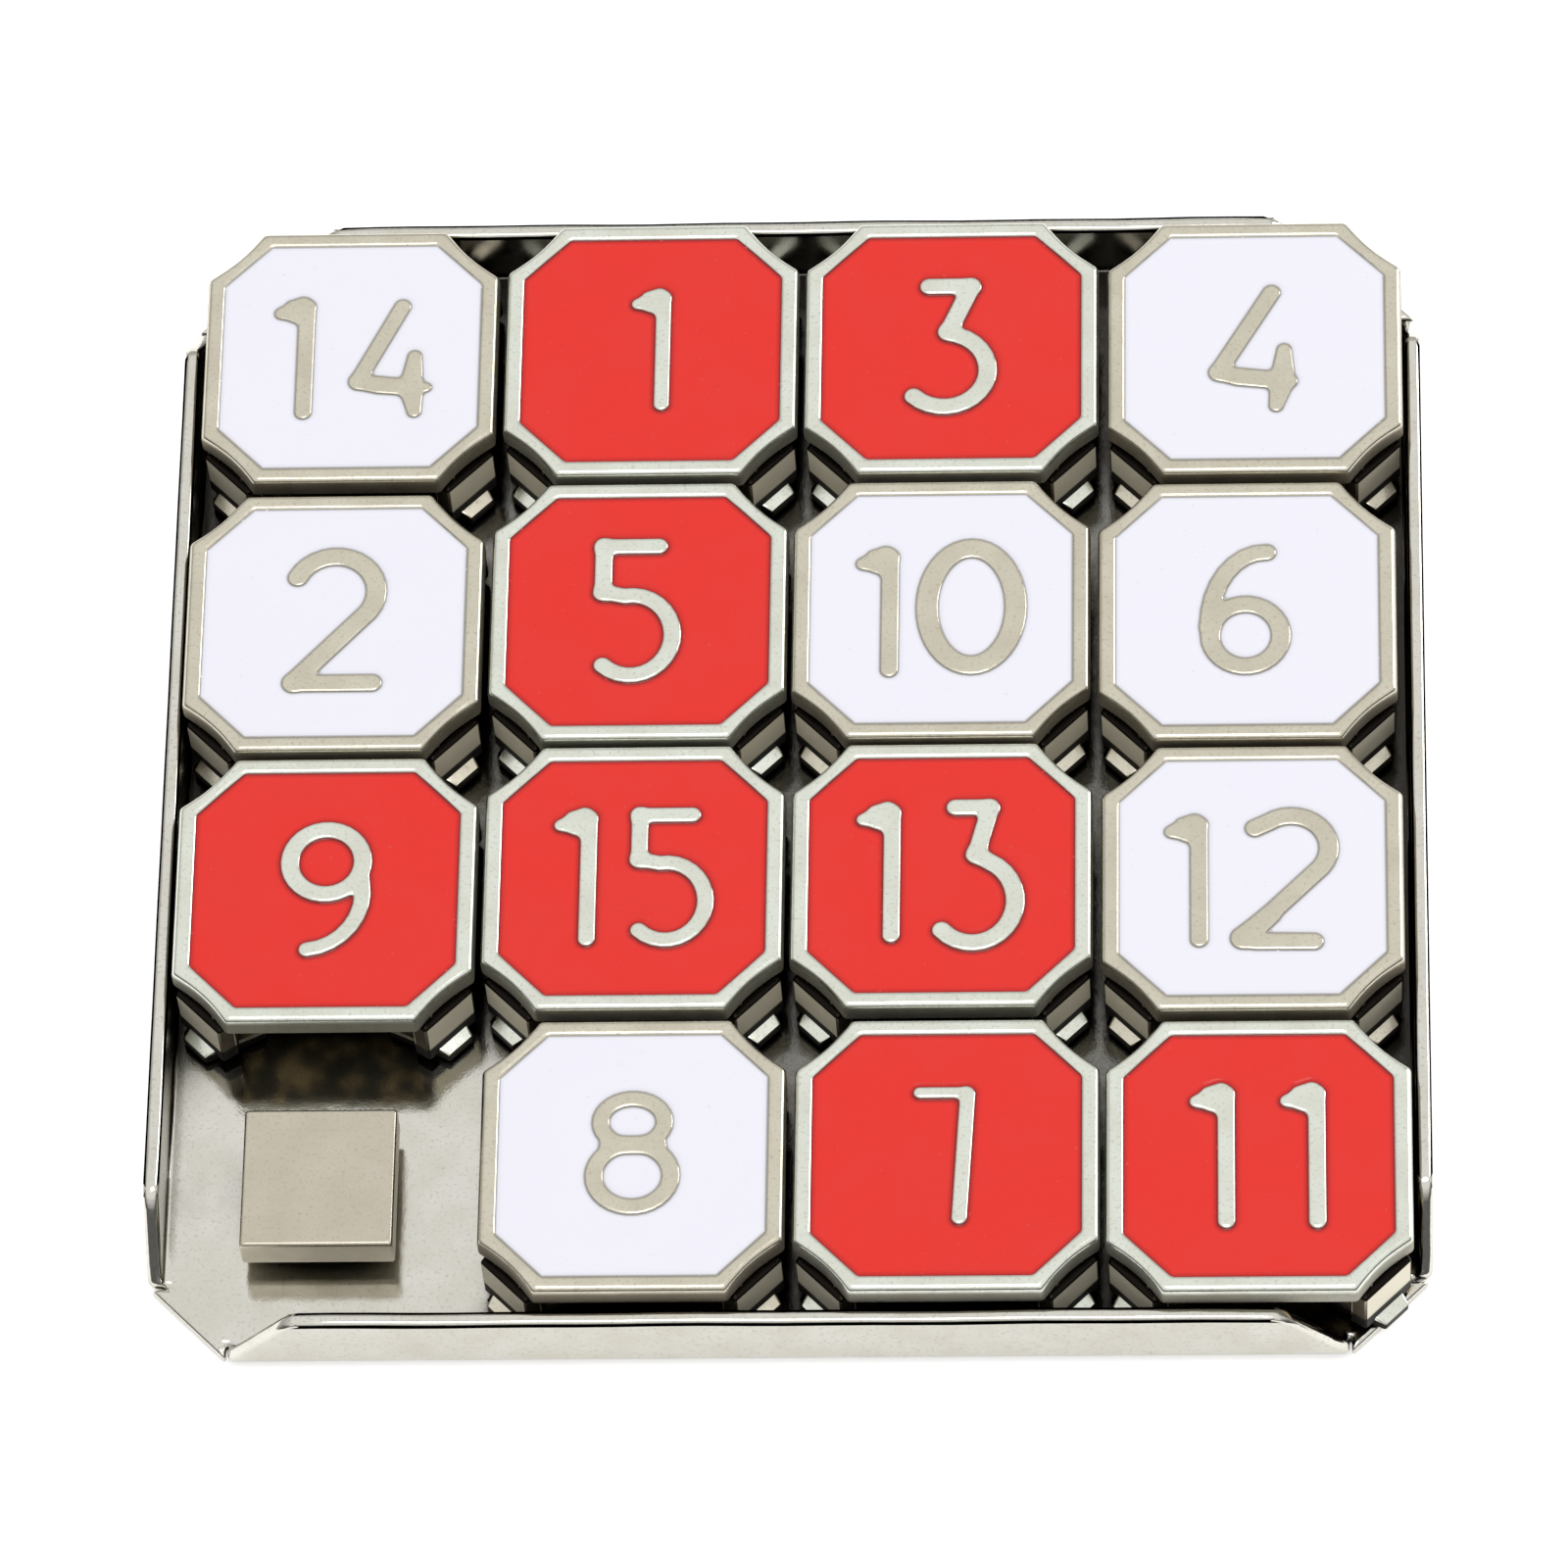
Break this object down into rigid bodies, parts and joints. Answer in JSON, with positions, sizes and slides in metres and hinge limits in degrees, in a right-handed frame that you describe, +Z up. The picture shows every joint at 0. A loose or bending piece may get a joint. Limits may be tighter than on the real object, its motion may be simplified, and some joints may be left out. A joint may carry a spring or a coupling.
{
  "type": "sliding tile puzzle",
  "caption": "Flat square sliding tile puzzle: numbered octagonal enamelled metal tiles hooked on T-studs in a low folded metal tray, with one blank cell.",
  "frame": {"origin": "middle of the tray's underside", "axes": "+Z up through the tiles, +X to the player's right, -Y towards the player"},
  "size_m": [0.0658, 0.0658, 0.006],
  "materials": {
    "tray_metal": "bright nickel plate over folded sheet, finely grained",
    "stud_metal": "satin nickel plate, polished edges",
    "tile_metal": "polished nickel plate over die casting",
    "red_enamel": "glossy baked enamel, slightly drawn down round the numerals",
    "white_enamel": "glossy baked enamel, level with the numerals"
  },
  "bodies": {
    "tray": {"tray": "tray_metal", "stud_row1_column1": "stud_metal", "stud_row1_column2": "stud_metal", "stud_row1_column3": "stud_metal", "stud_row1_column4": "stud_metal", "stud_row2_column1": "stud_metal", "stud_row2_column2": "stud_metal", "stud_row2_column3": "stud_metal", "stud_row2_column4": "stud_metal", "stud_row3_column1": "stud_metal", "stud_row3_column2": "stud_metal", "stud_row3_column3": "stud_metal", "stud_row3_column4": "stud_metal", "stud_row4_column1": "stud_metal", "stud_row4_column2": "stud_metal", "stud_row4_column3": "stud_metal", "stud_row4_column4": "stud_metal"},
    "tile_1": {"tile_1": "tile_metal", "enamel_1": "red_enamel"},
    "tile_2": {"tile_2": "tile_metal", "enamel_2": "white_enamel"},
    "tile_3": {"tile_3": "tile_metal", "enamel_3": "red_enamel"},
    "tile_4": {"tile_4": "tile_metal", "enamel_4": "white_enamel"},
    "tile_5": {"tile_5": "tile_metal", "enamel_5": "red_enamel"},
    "tile_6": {"tile_6": "tile_metal", "enamel_6": "white_enamel", "enamel_6_island": "white_enamel"},
    "tile_7": {"tile_7": "tile_metal", "enamel_7": "red_enamel"},
    "tile_8": {"tile_8": "tile_metal", "enamel_8": "white_enamel", "enamel_8_island_1": "white_enamel", "enamel_8_island_2": "white_enamel"},
    "tile_9": {"tile_9": "tile_metal", "enamel_9": "red_enamel", "enamel_9_island": "red_enamel"},
    "tile_10": {"tile_10": "tile_metal", "enamel_10": "white_enamel", "enamel_10_island": "white_enamel"},
    "tile_11": {"tile_11": "tile_metal", "enamel_11": "red_enamel"},
    "tile_12": {"tile_12": "tile_metal", "enamel_12": "white_enamel"},
    "tile_13": {"tile_13": "tile_metal", "enamel_13": "red_enamel"},
    "tile_14": {"tile_14": "tile_metal", "enamel_14": "white_enamel"},
    "tile_15": {"tile_15": "tile_metal", "enamel_15": "red_enamel"}
  },
  "joints": [
    {"name": "tile_9_slide", "type": "slide", "parent": "tray", "child": "tile_9", "axis": [0, -1, 0], "range_m": [0, 0.01573]},
    {"name": "tile_2_slide", "type": "slide", "parent": "tray", "child": "tile_2", "axis": [0, -1, 0], "range_m": [0, 0.01573]},
    {"name": "tile_14_slide", "type": "slide", "parent": "tray", "child": "tile_14", "axis": [0, -1, 0], "range_m": [0, 0.01573]},
    {"name": "tile_1_play", "type": "slide", "parent": "tray", "child": "tile_1", "axis": [1, 0, 0], "range_m": [-0.00012, 0.00012]},
    {"name": "tile_3_play", "type": "slide", "parent": "tray", "child": "tile_3", "axis": [1, 0, 0], "range_m": [-0.00012, 0.00012]},
    {"name": "tile_4_play", "type": "slide", "parent": "tray", "child": "tile_4", "axis": [1, 0, 0], "range_m": [-0.00012, 0.00012]},
    {"name": "tile_5_play", "type": "slide", "parent": "tray", "child": "tile_5", "axis": [1, 0, 0], "range_m": [-0.00012, 0.00012]},
    {"name": "tile_6_play", "type": "slide", "parent": "tray", "child": "tile_6", "axis": [1, 0, 0], "range_m": [-0.00012, 0.00012]},
    {"name": "tile_7_play", "type": "slide", "parent": "tray", "child": "tile_7", "axis": [1, 0, 0], "range_m": [-0.00012, 0.00012]},
    {"name": "tile_8_play", "type": "slide", "parent": "tray", "child": "tile_8", "axis": [1, 0, 0], "range_m": [-0.00012, 0.00012]},
    {"name": "tile_10_play", "type": "slide", "parent": "tray", "child": "tile_10", "axis": [1, 0, 0], "range_m": [-0.00012, 0.00012]},
    {"name": "tile_11_play", "type": "slide", "parent": "tray", "child": "tile_11", "axis": [1, 0, 0], "range_m": [-0.00012, 0.00012]},
    {"name": "tile_12_play", "type": "slide", "parent": "tray", "child": "tile_12", "axis": [1, 0, 0], "range_m": [-0.00012, 0.00012]},
    {"name": "tile_13_play", "type": "slide", "parent": "tray", "child": "tile_13", "axis": [1, 0, 0], "range_m": [-0.00012, 0.00012]},
    {"name": "tile_15_play", "type": "slide", "parent": "tray", "child": "tile_15", "axis": [1, 0, 0], "range_m": [-0.00012, 0.00012]}
  ],
  "couplings": [
    {"joint": "tile_2_slide", "follows": "tile_9_slide", "ratio": 1},
    {"joint": "tile_14_slide", "follows": "tile_9_slide", "ratio": 1}
  ]
}
